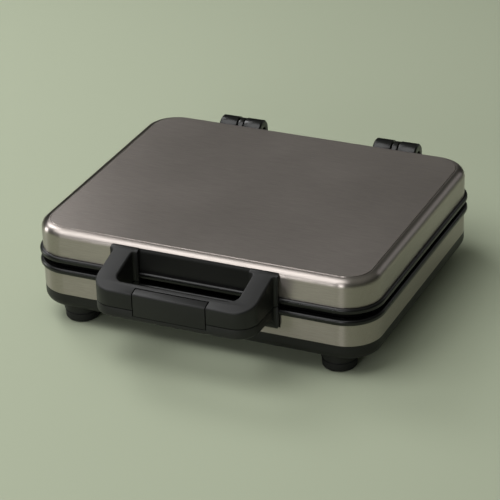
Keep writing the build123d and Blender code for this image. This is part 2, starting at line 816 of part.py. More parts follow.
# Latch: a clip with a top strip, a front plate, a lip under the catch and a cheek at each end for its pin
with BuildPart() as latch:
    with BuildSketch(Plane.YZ):
        with BuildLine():
            Polyline(
                in_front(strip_back_reach, handle_top_z(strip_back_reach)),
                in_front(handle_reach, handle_front_z),
                in_front(handle_reach, latch_bottom_z),
                in_front(lip_back_reach, latch_bottom_z),
                in_front(lip_back_reach, lip_top_z),
                in_front(plate_back_reach, lip_top_z),
                in_front(plate_back_reach, handle_top_z(plate_back_reach) - latch_strip_thickness),
                in_front(strip_back_reach, handle_top_z(strip_back_reach) - latch_strip_thickness),
                close=True,
            )
        make_face()
    extrude(amount=latch_width / 2, both=True)
    front_top_edge = latch.edges().filter_by(Axis.X).sort_by(lambda e: e.center().Y - e.center().Z)[0]
    fillet(front_top_edge, handle_edge_radius)
    for side in (-1, 1):
        cheek_start = side * (latch_width / 2 - latch_cheek_width / 2)
        with BuildSketch(Plane.YZ.offset(cheek_start)):
            with Locations(in_front(latch_pivot_reach, latch_pivot_z)):
                Circle(latch_cheek_radius)
            with BuildLine():
                Polyline(
                    in_front(latch_pivot_reach, latch_pivot_z - latch_cheek_radius),
                    in_front(handle_reach - latch_thickness / 2, latch_pivot_z - latch_cheek_radius),
                    in_front(handle_reach - latch_thickness / 2, latch_pivot_z + latch_cheek_rise),
                    in_front(latch_pivot_reach, latch_pivot_z + latch_cheek_radius),
                    close=True,
                )
            make_face()
        extrude(amount=latch_cheek_width / 2, both=True)
    with BuildSketch(Plane.YZ.offset(-latch_width / 2)):
        with Locations(in_front(latch_pivot_reach, latch_pivot_z)):
            Circle(latch_pin_radius + hinge_running_fit)
    extrude(amount=latch_width, mode=Mode.SUBTRACT)
latch.part.label = "latch"
export_step(latch.part, "parts/latch.step")

with BuildPart() as latch_pin:
    with BuildSketch(Plane(origin=pin_start, z_dir=(-1, 0, 0))):
        Circle(latch_pin_radius)
    extrude(amount=pocket_width + 2 * latch_pin_bearing)
latch_pin.part.label = "latch_pin"
export_step(latch_pin.part, "parts/latch_pin.step")

# Hinges: a two-eared post on the base, a knuckle arm on the lid and a pin through both
sides = {"left": -barrel_centre_x, "right": barrel_centre_x}
slot_width = knuckle_width + 2 * knuckle_gap
arm_plate_top_z = cover_skin_z - cover_edge_radius
post_front_reach = bead_outset + post_front_gap

for side, centre_x in sides.items():
    near = [place for place in post_places if abs(place.X - centre_x) < barrel_length]
    with BuildPart() as hinge_post:
        with BuildSketch(Plane.YZ.offset(centre_x)):
            with BuildLine():
                Polyline(
                    behind(0, post_bottom_z),
                    behind(0, band_top_z - notch_gap),
                    behind(post_front_reach, band_top_z - notch_gap),
                    behind(post_front_reach, hinge_axis_z - barrel_radius),
                    behind(hinge_axis_back, hinge_axis_z),
                    behind(hinge_axis_back + barrel_radius, hinge_axis_z),
                    behind(hinge_axis_back + barrel_radius, band_top_z),
                    behind(post_foot_depth, post_bottom_z),
                    close=True,
                )
            make_face()
            with Locations(behind(hinge_axis_back, hinge_axis_z)):
                Circle(barrel_radius)
        extrude(amount=barrel_length / 2, both=True)
        end_faces = hinge_post.faces().filter_by(Axis.X)
        chamfer([edge for face in end_faces for edge in face.edges()], post_chamfer)
        with BuildSketch(Plane.XY.offset(hinge_axis_z - barrel_radius - knuckle_gap / 2)):
            with Locations((centre_x, hinge_y)):
                Rectangle(slot_width, 2 * (barrel_radius + cut_margin))
        extrude(amount=2 * barrel_radius + knuckle_gap + cut_margin, mode=Mode.SUBTRACT)
        with BuildSketch(Plane.YZ.offset(centre_x)):
            with Locations(behind(hinge_axis_back, hinge_axis_z)):
                Circle(hinge_pin_radius)
        extrude(amount=barrel_length / 2, both=True, mode=Mode.SUBTRACT)
        for end_x, inward in ((centre_x - barrel_length / 2, 1), (centre_x + barrel_length / 2, -1)):
            with BuildSketch(Plane.YZ.offset(end_x)):
                with Locations(behind(hinge_axis_back, hinge_axis_z)):
                    Circle(pin_recess_radius)
            extrude(amount=inward * pin_recess_depth, mode=Mode.SUBTRACT)
        drill(near, backward, screw_radius + screw_hole_gap, post_screw_grip + cut_margin)
    hinge_post.part.label = f"hinge_post_{side}"
    export_step(hinge_post.part, f"parts/hinge_post_{side}.step")

    near = [place for place in arm_places if abs(place.X - centre_x) < barrel_length]
    with BuildPart() as hinge_arm:
        plate_middle = (centre_x, rear_y, (arm_plate_bottom_z + arm_plate_top_z) / 2)
        with BuildSketch(Plane(origin=plate_middle, x_dir=(1, 0, 0), z_dir=(0, -1, 0))):
            RectangleRounded(arm_plate_width, arm_plate_top_z - arm_plate_bottom_z, arm_plate_corner)
        extrude(amount=-arm_plate_thickness)
        with BuildSketch(Plane.YZ.offset(centre_x)):
            with BuildLine():
                Polyline(
                    behind(0, hinge_axis_z - knuckle_radius),
                    behind(hinge_axis_back, hinge_axis_z - knuckle_radius),
                    behind(hinge_axis_back, hinge_axis_z + knuckle_radius),
                    behind(arm_plate_thickness, arm_plate_top_z),
                    behind(0, arm_plate_top_z),
                    close=True,
                )
            make_face()
            with Locations(behind(hinge_axis_back, hinge_axis_z)):
                Circle(knuckle_radius)
        extrude(amount=knuckle_width / 2, both=True)
        with BuildSketch(Plane.YZ.offset(centre_x)):
            with Locations(behind(hinge_axis_back, hinge_axis_z)):
                Circle(hinge_pin_radius + hinge_running_fit)
        extrude(amount=knuckle_width / 2, both=True, mode=Mode.SUBTRACT)
        drill(near, backward, screw_radius + screw_hole_gap, arm_screw_grip + cut_margin)
    hinge_arm.part.label = f"hinge_arm_{side}"
    export_step(hinge_arm.part, f"parts/hinge_arm_{side}.step")

    with BuildPart() as hinge_pin:
        with BuildSketch(Plane.YZ.offset(centre_x)):
            with Locations(behind(hinge_axis_back, hinge_axis_z)):
                Circle(hinge_pin_radius)
        extrude(amount=barrel_length / 2 - pin_recess_depth, both=True)
    hinge_pin.part.label = f"hinge_pin_{side}"
    export_step(hinge_pin.part, f"parts/hinge_pin_{side}.step")

# Wall screws that hold the handle halves and the hinge parts from inside
wall_screws = {
    "handle_lower_screws": (lower_handle_places, forward, lower_screw_grip),
    "handle_upper_screws": (upper_handle_places, forward, upper_screw_grip),
    "hinge_post_screws": (post_places, backward, post_screw_grip),
    "hinge_arm_screws": (arm_places, backward, arm_screw_grip),
}
for name, (places, direction, grip) in wall_screws.items():
    group = screws(places, direction, grip)
    group.part.label = name
    export_step(group.part, f"parts/{name}.step")

# Rubber feet with a stem pushed up into the tub's bosses
for name, (x, y) in zip(("front_left", "front_right", "rear_left", "rear_right"), foot_spots):
    with BuildPart() as foot:
        with BuildSketch(Plane((x, case_y + y, 0))):
            Circle(foot_radius)
        extrude(amount=foot_height)
        fillet(foot.faces().sort_by(Axis.Z)[0].edges(), foot_round)
        with BuildSketch(Plane((x, case_y + y, foot_height))):
            Circle(foot_stem_radius)
        extrude(amount=boss_height + housing_wall)
        with BuildSketch(Plane((x, case_y + y, 0))):
            Circle(foot_dimple_radius)
        extrude(amount=foot_dimple_depth, mode=Mode.SUBTRACT)
    foot.part.label = f"foot_{name}"
    export_step(foot.part, f"parts/foot_{name}.step")

# Cord bush: a flanged tube through the back of the tub
with BuildPart() as cord_bush:
    with BuildSketch(Plane(origin=(0, rear_y - housing_wall, bush_z), z_dir=(0, 1, 0))):
        Circle(bush_body_radius)
    extrude(amount=housing_wall)
    with BuildSketch(Plane(origin=(0, rear_y, bush_z), z_dir=(0, 1, 0))):
        Circle(bush_flange_radius)
    extrude(amount=bush_flange_thickness)
    with BuildSketch(Plane(origin=(0, rear_y - housing_wall, bush_z), z_dir=(0, 1, 0))):
        Circle(bush_flange_radius)
    extrude(amount=-bush_flange_thickness)
    outer_face = cord_bush.faces().sort_by(Axis.Y)[-1]
    fillet(outer_face.edges(), bush_round)
    with BuildSketch(Plane(origin=(0, rear_y + bush_flange_thickness, bush_z), z_dir=(0, 1, 0))):
        Circle(cord_radius)
    extrude(amount=-housing_wall - 2 * bush_flange_thickness, mode=Mode.SUBTRACT)
cord_bush.part.label = "cord_bush"
export_step(cord_bush.part, "parts/cord_bush.step")

# Terminal block on the tub floor, with three wire holes
with BuildPart() as terminal_block:
    with BuildSketch(case_plane(tub_floor_z)):
        with Locations((0, case_depth / 2 - block_back_inset)):
            Rectangle(block_length, block_width)
    extrude(amount=block_height)
    with BuildSketch(case_plane(tub_floor_z + block_height)):
        with Locations((0, case_depth / 2 - block_back_inset)):
            with GridLocations(block_way_pitch, 0, block_way_count, 1):
                Circle(block_hole_radius)
    extrude(amount=-block_hole_depth, mode=Mode.SUBTRACT)
terminal_block.part.label = "terminal_block"
export_step(terminal_block.part, "parts/terminal_block.step")

# Thermostat against the underside of the lower plate, with two tabs
with BuildPart() as thermostat:
    with BuildSketch(case_plane(flange_bottom_z)):
        Circle(thermostat_radius)
    extrude(amount=-thermostat_height)
    with BuildSketch(case_plane(flange_bottom_z - thermostat_height / 2)):
        Rectangle(2 * (thermostat_radius + thermostat_tab_length), strap_width)
    extrude(amount=strap_thickness)
thermostat.part.label = "thermostat"
export_step(thermostat.part, "parts/thermostat.step")

# Thermal fuse strapped to the back of the upper plate
upper_back_z = upper_face_z + flange_thickness
with BuildPart() as thermal_fuse:
    with BuildSketch(Plane(origin=(-fuse_length / 2, case_y, upper_back_z + fuse_radius), z_dir=(1, 0, 0))):
        Circle(fuse_radius)
    extrude(amount=fuse_length)
    with BuildSketch(case_plane(upper_back_z)):
        Rectangle(strap_width, strap_length)
    extrude(amount=strap_thickness)
thermal_fuse.part.label = "thermal_fuse"
export_step(thermal_fuse.part, "parts/thermal_fuse.step")
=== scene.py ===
"""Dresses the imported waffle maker: finishes, pressed cover, turned feet, soft-edged mouldings and studio."""
import math

import bmesh
import bpy
from mathutils import Euler, Matrix, Vector


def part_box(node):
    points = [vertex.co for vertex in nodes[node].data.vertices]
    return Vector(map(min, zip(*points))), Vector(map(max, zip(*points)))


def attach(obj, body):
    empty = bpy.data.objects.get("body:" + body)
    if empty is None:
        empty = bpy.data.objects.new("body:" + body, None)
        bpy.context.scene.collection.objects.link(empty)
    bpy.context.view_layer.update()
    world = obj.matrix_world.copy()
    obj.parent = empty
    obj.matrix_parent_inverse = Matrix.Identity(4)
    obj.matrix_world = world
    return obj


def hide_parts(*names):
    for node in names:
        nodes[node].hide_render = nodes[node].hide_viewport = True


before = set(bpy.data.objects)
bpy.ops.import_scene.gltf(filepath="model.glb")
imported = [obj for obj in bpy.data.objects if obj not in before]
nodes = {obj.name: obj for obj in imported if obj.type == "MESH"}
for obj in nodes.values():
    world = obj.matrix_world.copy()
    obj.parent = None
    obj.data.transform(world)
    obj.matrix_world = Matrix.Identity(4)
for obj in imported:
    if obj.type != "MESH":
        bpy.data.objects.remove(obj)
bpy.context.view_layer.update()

# Camera
# It stands where the photograph was taken from: in front, to the right and above, with a long lens. Its
# angles and place come from fitting the corners of the steel case to the photograph's.
lens_mm = 170.3
sensor_mm = 36
view_azimuth = math.radians(-24.73)
view_elevation = math.radians(27.15)
view_roll = math.radians(-1.856)
view_distance = 1.79433
view_target = Vector((0.00166, -0.00725, 0.03857))
camera_data = bpy.data.cameras.new("camera")
camera_data.lens = lens_mm
camera_data.sensor_width = sensor_mm
camera = bpy.data.objects.new("camera", camera_data)
bpy.context.scene.collection.objects.link(camera)
aim = Euler((math.pi / 2 - view_elevation, 0, -view_azimuth)).to_matrix()
turn = aim @ Matrix.Rotation(view_roll, 3, "Z")
stand = view_target + turn @ Vector((0, 0, view_distance))
camera.matrix_world = Matrix.Translation(stand) @ turn.to_4x4()
bpy.context.scene.camera = camera

# Tub and lid liner
# The floor of the base and the liner of the lid are deep mouldings in black ABS. The mould was spark-eroded,
# which leaves a fine grain that dulls the gloss, so the eye gets a soft grey sheen on the curved edge and no
# sharp image.


def linear(hex_colour):
    """An sRGB hex colour as the linear RGBA that shaders take, by the curve of the sRGB standard."""
    parts = [int(hex_colour[i : i + 2], 16) / 255 for i in (1, 3, 5)]
    return [c / 12.92 if c <= 0.04045 else ((c + 0.055) / 1.055) ** 2.4 for c in parts] + [1.0]


def add_node(material, kind, settings=None, links=None):
    """A node of a material or the world, with its settings, and links from (node, output) to its inputs."""
    tree = material.node_tree
    node = tree.nodes.new(kind)
    for key, value in (settings or {}).items():
        if isinstance(key, str) and hasattr(node, key):
            setattr(node, key, value)
        else:
            node.inputs[key].default_value = value
    for key, (source, output) in (links or {}).items():
        tree.links.new(source.outputs[output], node.inputs[key])
    return node


def new_finish(name, colour, roughness, metallic=0.0):
    """A material with one principled shader, ready for its texture nodes."""
    material = bpy.data.materials.new(name)
    material.use_nodes = True
    shader = material.node_tree.nodes["Principled BSDF"]
    shader.inputs["Base Color"].default_value = linear(colour)
    shader.inputs["Roughness"].default_value = roughness
    shader.inputs["Metallic"].default_value = metallic
    return material, shader


def vary_tone(material, shader, pattern, span, tones):
    """Darkens and lightens a shader's own colour with a pattern, from the first tone to the second."""
    tone_range = {"From Min": span[0], "From Max": span[1], "To Min": tones[0], "To Max": tones[1]}
    tone = add_node(material, "ShaderNodeMapRange", tone_range, {"Value": pattern})
    own_colour = {"operation": "SCALE", 0: shader.inputs["Base Color"].default_value[:3]}
    mixed = add_node(material, "ShaderNodeVectorMath", own_colour, {"Scale": (tone, "Result")})
    material.node_tree.links.new(mixed.outputs["Vector"], shader.inputs["Base Color"])


def vary_gloss(material, shader, pattern, span, roughness):
    """Varies a shader's roughness with a pattern, from the first value to the second."""
    gloss_range = {"From Min": span[0], "From Max": span[1], "To Min": roughness[0], "To Max": roughness[1]}
    gloss = add_node(material, "ShaderNodeMapRange", gloss_range, {"Value": pattern})
    material.node_tree.links.new(gloss.outputs["Result"], shader.inputs["Roughness"])


def moulded_grain(material, shader, grain_mm, depth_mm, roughness):
    """The grain of a textured mould, in bump and tone, under slow clouds of gloss about 45 mm across.

    Real grain is a tenth of a millimetre or less. It is drawn several times coarser, so that it shows.
    """
    place = add_node(material, "ShaderNodeTexCoord")
    grain_look = {"Scale": 1000 / grain_mm, "Detail": 3.0, "Roughness": 0.6}
    grain = add_node(material, "ShaderNodeTexNoise", grain_look, {"Vector": (place, "Object")})
    cloud_look = {"Scale": 22.0, "Detail": 4.0, "Roughness": 0.55}
    clouds = add_node(material, "ShaderNodeTexNoise", cloud_look, {"Vector": (place, "Object")})
    vary_gloss(material, shader, (clouds, "Fac"), span=(0.3, 0.7), roughness=roughness)
    vary_tone(material, shader, (grain, "Fac"), span=(0.25, 0.75), tones=(0.85, 1.15))
    pits = {"Strength": 0.6, "Distance": depth_mm / 1000}
    bump = add_node(material, "ShaderNodeBump", pits, {"Height": (grain, "Fac")})
    material.node_tree.links.new(bump.outputs["Normal"], shader.inputs["Normal"])


def wear(material, *names):
    """Gives a finish to parts that keep their own mesh."""
    for name in names:
        part = nodes[name]
        part.data.materials.clear()
        part.data.materials.append(material)


tub_black, tub_shader = new_finish("moulded_abs_black", "#111110", roughness=0.5)
tub_shader.inputs["Specular IOR Level"].default_value = 0.35
moulded_grain(tub_black, tub_shader, grain_mm=0.6, depth_mm=0.03, roughness=(0.42, 0.56))
wear(tub_black, "base_tub", "lid_liner")

# Feet and cord bush
# Four feet, each with a stem that is pushed up into a boss of the tub, a moulded ring, a slight taper, a
# rounded tread and a dimple that grips the table. They and the bush in the back of the tub are of
# compression-moulded rubber, and the eye gets a dead, dusty black.

# Radius and height of each ring in millimetres, from the top of the stem down and round into the dimple: the
# stem, the moulded ring and the neck under it, the taper, the rounded tread, and the dimple.
foot_rings = [
    (3.4, 17.2),
    (4.0, 16.6),
    (4.0, 9.0),
    (12.9, 9.0),
    (13.2, 8.8),
    (13.2, 8.2),
    (12.6, 7.9),
    (12.6, 7.3),
    (13.15, 7.0),
    (12.9, 2.6),
    (12.7, 1.5),
    (12.1, 0.7),
    (11.3, 0.2),
    (10.4, 0.0),
    (5.0, 0.0),
    (4.5, 0.4),
    (4.1, 2.5),
]
foot_segments = 64
foot_crease = math.radians(40)


def mm(x, y, z):
    """A place given in millimetres."""
    return Vector((x, y, z)) / 1000


def turned(name, rings, x, y, segments, crease):
    """A round piece: a disc that is extruded and resized from ring to ring."""
    radius, height = rings[0]
    bpy.ops.object.select_all(action="DESELECT")
    bpy.ops.mesh.primitive_circle_add(
        vertices=segments, radius=radius / 1000, fill_type="NGON", location=mm(x, y, height)
    )
    piece = bpy.context.object
    piece.name = name
    bpy.ops.object.transform_apply(location=True, rotation=True, scale=True)
    bpy.ops.object.mode_set(mode="EDIT")
    bpy.ops.mesh.select_all(action="SELECT")
    for next_radius, next_height in rings[1:]:
        drop = (0, 0, (next_height - height) / 1000)
        bpy.ops.mesh.extrude_region_move(TRANSFORM_OT_translate={"value": drop})
        ratio = next_radius / radius
        bpy.ops.transform.resize(value=(ratio, ratio, 1), center_override=mm(x, y, next_height))
        radius, height = next_radius, next_height
    bpy.ops.mesh.select_all(action="SELECT")
    bpy.ops.mesh.normals_make_consistent(inside=False)
    bpy.ops.object.mode_set(mode="OBJECT")
    bpy.ops.object.shade_smooth_by_angle(angle=crease)
    return piece


def dress(piece, material, *hidden):
    """Gives a new piece its finish, and has it stand for the solids that it covers."""
    piece.data.materials.clear()
    piece.data.materials.append(material)
    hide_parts(*hidden)


foot_rubber, foot_shader = new_finish("moulded_rubber_black", "#0f0f0f", roughness=0.7)
foot_shader.inputs["Specular IOR Level"].default_value = 0.4
moulded_grain(foot_rubber, foot_shader, grain_mm=0.9, depth_mm=0.05, roughness=(0.6, 0.75))
wear(foot_rubber, "cord_bush")
for corner in ("front_left", "front_right", "rear_left", "rear_right"):
    low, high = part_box(f"foot_{corner}")
    middle = (low + high) / 2 * 1000
    foot = turned(f"rubber_foot_{corner}", foot_rings, middle.x, middle.y, foot_segments, foot_crease)
    dress(foot, foot_rubber, f"foot_{corner}")
    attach(foot, "base")

# Steel band
# A strip of 0.8 mm stainless steel bent round the base and welded behind. Belt brushing along its length
# leaves fine level lines: the eye gets a broad streak across the lines wherever a lamp is met, and a dark
# wall where none is.


def brush_lines(material, place, line_mm, run_mm):
    """Fine lines that run level along each wall, and from side to side on the panel."""
    facing = add_node(material, "ShaderNodeSeparateXYZ", {}, {"Vector": (place, "Normal")})
    sideways = add_node(material, "ShaderNodeMath", {"operation": "ABSOLUTE"}, {0: (facing, "X")})
    line, run = 1000 / line_mm, 1000 / run_mm
    look = {"Scale": 1.0, "Detail": 5.0, "Roughness": 0.7}
    ways = []
    for stretch in ((run, line, line), (line, run, line)):
        drawn = add_node(material, "ShaderNodeMapping", {"Scale": stretch}, {"Vector": (place, "Object")})
        ways.append(add_node(material, "ShaderNodeTexNoise", look, {"Vector": (drawn, "Vector")}))
    chosen = {"Factor": (sideways, "Value"), "A": (ways[0], "Fac"), "B": (ways[1], "Fac")}
    return add_node(material, "ShaderNodeMix", {"data_type": "FLOAT"}, chosen)


def brush_direction(material):
    """The way that the lines run, as a tangent: level along a wall, and along the width of the panel.

    It always points to the right, and a small push that way keeps it from vanishing on the panel.
    """
    push = 0.05
    surface = add_node(material, "ShaderNodeNewGeometry")
    outward = add_node(material, "ShaderNodeSeparateXYZ", {}, {"Vector": (surface, "Normal")})
    rear = add_node(material, "ShaderNodeMath", {"operation": "SIGN"}, {0: (outward, "Y")})
    aside = {0: (outward, "X"), 1: (rear, "Value")}
    across = add_node(material, "ShaderNodeMath", {"operation": "MULTIPLY"}, aside)
    back = add_node(material, "ShaderNodeMath", {"operation": "MULTIPLY", 1: -1.0}, {0: (across, "Value")})
    depth = add_node(material, "ShaderNodeMath", {"operation": "ABSOLUTE"}, {0: (outward, "Y")})
    right = add_node(material, "ShaderNodeMath", {"operation": "ADD", 1: push}, {0: (depth, "Value")})
    return add_node(material, "ShaderNodeCombineXYZ", {}, {"X": (right, "Value"), "Y": (back, "Value")})


def brushed(material, shader, line_mm, run_mm, roughness):
    """Belt-brushed sheet: lines in tone and bump, clouds of gloss about 110 mm across, and a way to run."""
    place = add_node(material, "ShaderNodeTexCoord")
    lines = brush_lines(material, place, line_mm, run_mm)
    cloud_look = {"Scale": 9.0, "Detail": 2.0, "Roughness": 0.5}
    clouds = add_node(material, "ShaderNodeTexNoise", cloud_look, {"Vector": (place, "Object")})
    vary_tone(material, shader, (lines, "Result"), span=(0.3, 0.7), tones=(0.84, 1.12))
    vary_gloss(material, shader, (clouds, "Fac"), span=(0.35, 0.65), roughness=roughness)
    scratches = {"Strength": 0.3, "Distance": 0.00003}
    bump = add_node(material, "ShaderNodeBump", scratches, {"Height": (lines, "Result")})
    direction = brush_direction(material)
    links = material.node_tree.links
    links.new(bump.outputs["Normal"], shader.inputs["Normal"])
    links.new(direction.outputs["Vector"], shader.inputs["Tangent"])


# Real belt lines are about 0.1 mm apart. They are drawn at 0.45 mm, in runs of 14 mm, so that they show. The
# quarter turn of the anisotropy spreads each highlight across the lines.
steel, steel_shader = new_finish("belt_brushed_stainless", "#a8a09b", roughness=0.36, metallic=1.0)
steel_shader.inputs["Anisotropic"].default_value = 0.85
steel_shader.inputs["Anisotropic Rotation"].default_value = 0.25
brushed(steel, steel_shader, line_mm=0.45, run_mm=14.0, roughness=(0.3, 0.32))
wear(steel, "base_band")

# Rims
# Two frames of glass-filled polyester on which the steel ends. The mould is polished at the rounded bead, so
# it is glossier than the tub and carries a thin bright line all the way round.
rim_black, rim_shader = new_finish("moulded_pbt_black", "#0b0b0b", roughness=0.3)
rim_shader.inputs["Specular IOR Level"].default_value = 0.4
moulded_grain(rim_black, rim_shader, grain_mm=1.2, depth_mm=0.01, roughness=(0.24, 0.34))
wear(rim_black, "base_rim", "lid_rim")

# Cooking plates
# Cast aluminium with dinosaur pockets. The sprayed non-stick coat is dark grey with a fine orange peel, and
# it keeps a soft sheen that shows the pockets' edges.
plate_coat, plate_shader = new_finish("nonstick_coated_aluminium", "#39393c", roughness=0.4)
moulded_grain(plate_coat, plate_shader, grain_mm=0.8, depth_mm=0.02, roughness=(0.3, 0.42))
wear(plate_coat, "lower_plate", "upper_plate")

# Heaters
# A tube of drawn steel, bent to lie along the rail behind each plate. Heat has browned it unevenly, so the
# eye gets a warm grey that comes and goes along the tube.


def drawn_metal(name, colour, roughness, streak_mm):
    """Bare or thinly coated metal, with streaks of gloss and tone at the size that its making leaves."""
    material, shader = new_finish(name, colour, roughness=roughness[0], metallic=1.0)
    place = add_node(material, "ShaderNodeTexCoord")
    look = {"Scale": 1000 / streak_mm, "Detail": 4.0, "Roughness": 0.6}
    streaks = add_node(material, "ShaderNodeTexNoise", look, {"Vector": (place, "Object")})
    vary_gloss(material, shader, (streaks, "Fac"), span=(0.3, 0.7), roughness=roughness)
    vary_tone(material, shader, (streaks, "Fac"), span=(0.3, 0.7), tones=(0.8, 1.1))
    return material


heater_tube = drawn_metal("heat_browned_tube", "#6f6458", roughness=(0.36, 0.5), streak_mm=6.0)
wear(heater_tube, "lower_heater", "upper_heater")

# Heat shields
# A shallow pan of thin rolled aluminium behind each heater. Rolling leaves it pale and bright, with faint
# clouds about 10 mm across.
shield_sheet = drawn_metal("rolled_aluminium_sheet", "#b9b9b6", roughness=(0.3, 0.4), streak_mm=10.0)
wear(shield_sheet, "lower_heat_shield", "upper_heat_shield")

# Screws, pins and fuse case
# Steel with a thin zinc plating, which gives a cool pale grey with small clouds. The screws of the handle
# are blackened instead, so that their ends, which show through the toes of its lower half, don't shine.
zinc = drawn_metal("zinc_plated_steel", "#b4b4ae", roughness=(0.25, 0.36), streak_mm=2.0)
hinge_screws = ("hinge_post_screws", "hinge_arm_screws")
plate_screws = ("lower_plate_screws", "upper_plate_screws")
pins = ("hinge_pin_left", "hinge_pin_right", "latch_pin")
wear(zinc, *hinge_screws, *plate_screws, *pins, "thermal_fuse")
black_oxide = drawn_metal("black_oxide_steel", "#1a1918", roughness=(0.4, 0.5), streak_mm=2.0)
wear(black_oxide, "handle_lower_screws", "handle_upper_screws")

# Terminal block and thermostat
# Pressed from brown phenolic resin, which stands the heat of the plates. It is matt, with a faint mottle of
# its wood-flour filler.
phenolic, phenolic_shader = new_finish("moulded_phenolic_brown", "#4a3222", roughness=0.5)
moulded_grain(phenolic, phenolic_shader, grain_mm=0.7, depth_mm=0.02, roughness=(0.4, 0.55))
wear(phenolic, "terminal_block", "thermostat")

# Hinges
# Moulded glass-filled polyester: two-eared posts on the base, knuckle arms on the lid. The mould halves
# leave edges broken by a few tenths of a millimetre, which catch the light as fine lines.


def moulding(name, node):
    """A copy of a moulded part, joined up and with its flat faces whole."""
    weld = 0.000002
    flat = math.radians(0.5)
    bpy.ops.object.select_all(action="DESELECT")
    piece = bpy.data.objects.new(name, nodes[node].data.copy())
    bpy.context.scene.collection.objects.link(piece)
    bpy.context.view_layer.objects.active = piece
    piece.select_set(True)
    bpy.ops.mesh.customdata_custom_splitnormals_clear()
    bpy.ops.object.mode_set(mode="EDIT")
    bpy.ops.mesh.select_all(action="SELECT")
    bpy.ops.mesh.remove_doubles(threshold=weld)
    bpy.ops.mesh.dissolve_limited(angle_limit=flat)
    bpy.ops.object.mode_set(mode="OBJECT")
    return piece


def break_edges(piece, edge_mm):
    """Breaks the sharp edges of a piece, as its mould does."""
    sharp = math.radians(35)
    crease = math.radians(30)
    bpy.ops.object.select_all(action="DESELECT")
    bpy.context.view_layer.objects.active = piece
    piece.select_set(True)
    edge = piece.modifiers.new("edge", "BEVEL")
    edge.width = edge_mm / 1000
    edge.segments = 2
    edge.limit_method = "ANGLE"
    edge.angle_limit = sharp
    bpy.ops.object.modifier_apply(modifier="edge")
    bpy.ops.object.shade_smooth_by_angle(angle=crease)


hinge_black, hinge_shader = new_finish("moulded_pbt_hinge", "#0c0c0c", roughness=0.28)
hinge_shader.inputs["Specular IOR Level"].default_value = 0.4
moulded_grain(hinge_black, hinge_shader, grain_mm=1.2, depth_mm=0.01, roughness=(0.24, 0.34))
for side in ("left", "right"):
    post = moulding(f"hinge_ears_{side}", f"hinge_post_{side}")
    break_edges(post, edge_mm=0.35)
    dress(post, hinge_black, f"hinge_post_{side}")
    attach(post, "base")
    arm = moulding(f"hinge_knuckle_{side}", f"hinge_arm_{side}")
    break_edges(arm, edge_mm=0.3)
    dress(arm, hinge_black, f"hinge_arm_{side}")
    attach(arm, "lid")

# Lid cover
# A pressing in the band's steel: walls and a rounded shoulder drawn in one stroke, a panel raised inside a
# pressed groove, and two notches with turned edges that let the handle's roots through. It is brushed along
# its width.

# The cover starts as a block as large as the solid, less the rise of the panel. Its two corners are in metres,
# and all other sizes in millimetres. Places that are less than "near" apart count as level or in line.
panel_rise = 0.4
cover_low, cover_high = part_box("lid_cover")
cover_high.z -= panel_rise / 1000
cover_corner = 26.0
cover_corner_segments = 24
cover_shoulder = 6.1
cover_shoulder_segments = 10
sheet_gauge = 0.8
panel_border = 0.5
groove_slope = 0.15
groove_depth = 0.25
groove_floor = 0.15
rise_slope = 0.2
panel_edge = 0.25
panel_edge_rise = 0.1
notch_centre = 55.15
notch_half_width = 11.35
notch_top = 76.3
notch_corner = 0.9
notch_corner_segments = 4
notch_lip = 0.35
notch_lip_segments = 3
punch_bottom = 50.0
punch_in_front = 5.0
punch_behind = 4.0
lip_sharp = math.radians(50)
cover_crease = math.radians(35)
near = 0.01
cover_top = cover_high.z * 1000
front_wall = cover_low.y * 1000


def block(name, low, high):
    """A block between two corners."""
    bpy.ops.object.select_all(action="DESELECT")
    bpy.ops.mesh.primitive_cube_add(size=1, location=(low + high) / 2)
    piece = bpy.context.object
    piece.name = name
    piece.scale = high - low
    bpy.ops.object.transform_apply(location=True, rotation=True, scale=True)
    return piece


def pick(piece, kind, wanted):
    """Opens a piece in edit mode and selects the edges or faces whose corners in millimetres are wanted."""
    bpy.ops.object.select_all(action="DESELECT")
    bpy.context.view_layer.objects.active = piece
    piece.select_set(True)
    bpy.ops.object.mode_set(mode="EDIT")
    bpy.ops.mesh.select_mode(type=kind)
    bpy.ops.mesh.select_all(action="DESELECT")
    shape = bmesh.from_edit_mesh(piece.data)
    for item in shape.edges if kind == "EDGE" else shape.faces:
        if wanted([corner.co * 1000 for corner in item.verts]):
            item.select_set(True)
    bmesh.update_edit_mesh(piece.data)


def round_edges(piece, radius, segments, wanted):
    """Rounds the wanted edges of a piece."""
    pick(piece, "EDGE", wanted)
    bpy.ops.mesh.bevel(offset=radius / 1000, segments=segments, profile=0.5, clamp_overlap=False)
    bpy.ops.object.mode_set(mode="OBJECT")


def cut(piece, tool):
    """Cuts a tool's shape out of a piece, and puts the tool away."""
    bpy.ops.object.select_all(action="DESELECT")
    bpy.context.view_layer.objects.active = piece
    piece.select_set(True)
    change = piece.modifiers.new("cut", "BOOLEAN")
    change.operation = "DIFFERENCE"
    change.solver = "EXACT"
    change.object = tool
    bpy.ops.object.modifier_apply(modifier="cut")
    bpy.data.objects.remove(tool, do_unlink=True)


def upright(ends):
    """An edge that stands straight up."""
    return abs(ends[0].x - ends[1].x) < near and abs(ends[0].y - ends[1].y) < near


def at_top(corners):
    """An edge or face at the top of the block."""
    return all(abs(c.z - cover_top) < near for c in corners)


def runs_back(ends):
    """An edge that runs at least half a millimetre from front to back."""
    return abs(ends[0].y - ends[1].y) > 0.5


def punch_shoulder(ends):
    """A top edge of the punch that runs in through the wall."""
    return all(e.z > notch_top - near for e in ends) and runs_back(ends)


def in_notch(corner):
    """A corner that lies on the wall of a notch or inside it."""
    beside = abs(abs(corner.x) - notch_centre)
    behind = corner.y - front_wall
    return beside < notch_half_width + near and corner.z < notch_top + near and behind < punch_behind + near


